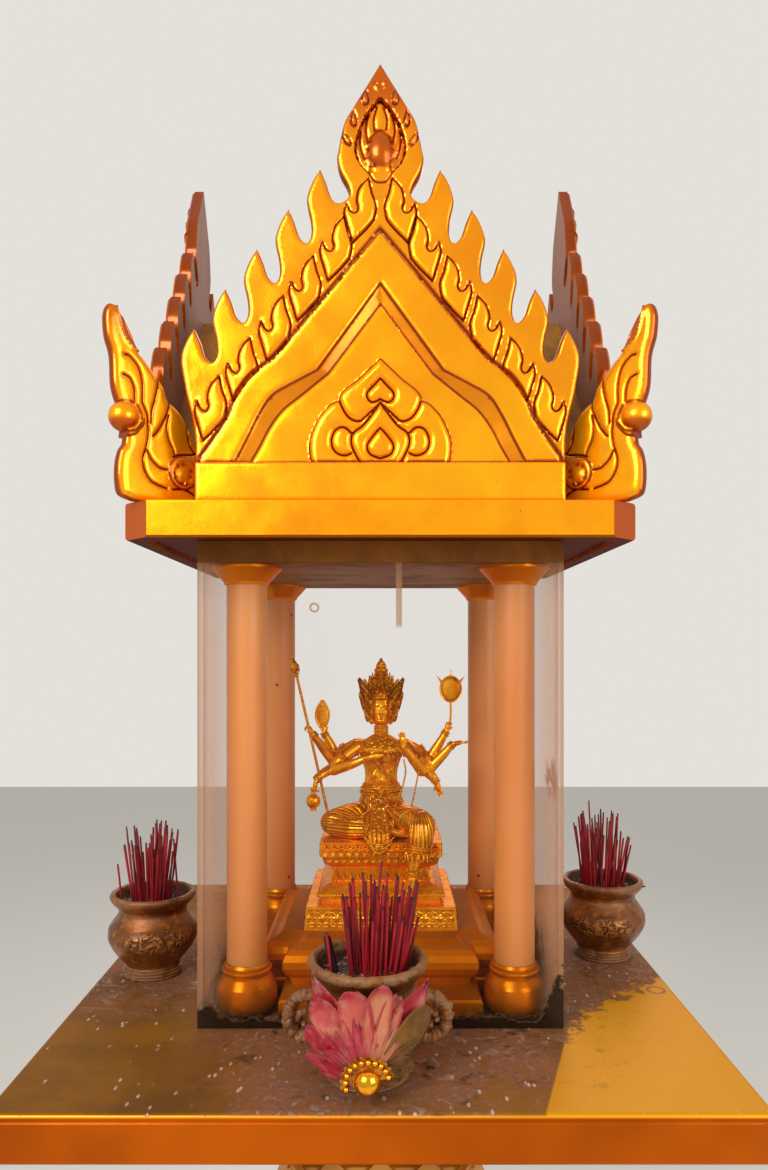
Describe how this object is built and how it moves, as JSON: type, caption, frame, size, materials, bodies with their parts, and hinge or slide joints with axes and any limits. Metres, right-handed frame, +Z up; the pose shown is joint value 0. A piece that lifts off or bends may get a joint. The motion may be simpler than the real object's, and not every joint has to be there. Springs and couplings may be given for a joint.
{
  "type": "spirit house",
  "caption": "Gilded spirit house on a pedestal table: flame-edged gables over a clear case with pillars, a seated four-faced figure and joss-stick pots.",
  "frame": {"origin": "on the ground, under the middle of the house", "axes": "+Z up, -Y towards the front, +X to the viewer's right"},
  "size_m": [0.936, 0.976, 2.332],
  "materials": {
    "cast_gold": "satin gold paint, dusty",
    "enamel_gold": "glossy orange-gold enamel",
    "cream_paint": "semi-gloss cream paint",
    "clear_panel": "clear, smeared",
    "gilt": "polished gilding",
    "pot_bronze": "bronze-brown, ash-crusted",
    "joss_ash": "loose ash",
    "flower_fabric": "satin petals"
  },
  "bodies": {
    "root": {"base_steps": "cast_gold", "pedestal_shaft": "cast_gold", "pedestal_capital": "cast_gold", "altar": "cast_gold", "ceiling": "cast_gold", "roof_body": "cast_gold", "table_top": "enamel_gold", "roof_slab": "enamel_gold", "pillar_base_front_left": "cast_gold", "pillar_front_left": "cream_paint", "pillar_capital_front_left": "cast_gold", "corner_horn_front_left": "enamel_gold", "pillar_base_front_right": "cast_gold", "pillar_front_right": "cream_paint", "pillar_capital_front_right": "cast_gold", "corner_horn_front_right": "enamel_gold", "pillar_base_back_right": "cast_gold", "pillar_back_right": "cream_paint", "pillar_capital_back_right": "cast_gold", "corner_horn_back_right": "enamel_gold", "pillar_base_back_left": "cast_gold", "pillar_back_left": "cream_paint", "pillar_capital_back_left": "cast_gold", "corner_horn_back_left": "enamel_gold", "glass_front": "clear_panel", "gable_front": "enamel_gold", "pot_front": "pot_bronze", "ash_front": "joss_ash", "glass_right": "clear_panel", "gable_right": "enamel_gold", "pot_right": "pot_bronze", "ash_right": "joss_ash", "glass_back": "clear_panel", "gable_back": "enamel_gold", "pot_back": "pot_bronze", "ash_back": "joss_ash", "glass_left": "clear_panel", "gable_left": "enamel_gold", "pot_left": "pot_bronze", "ash_left": "joss_ash", "throne": "gilt", "figure_legs": "gilt", "figure_torso": "gilt", "figure_head": "gilt", "arms_left": "gilt", "arms_right": "gilt", "held_staff": "gilt", "flower": "flower_fabric"}
  },
  "joints": []
}
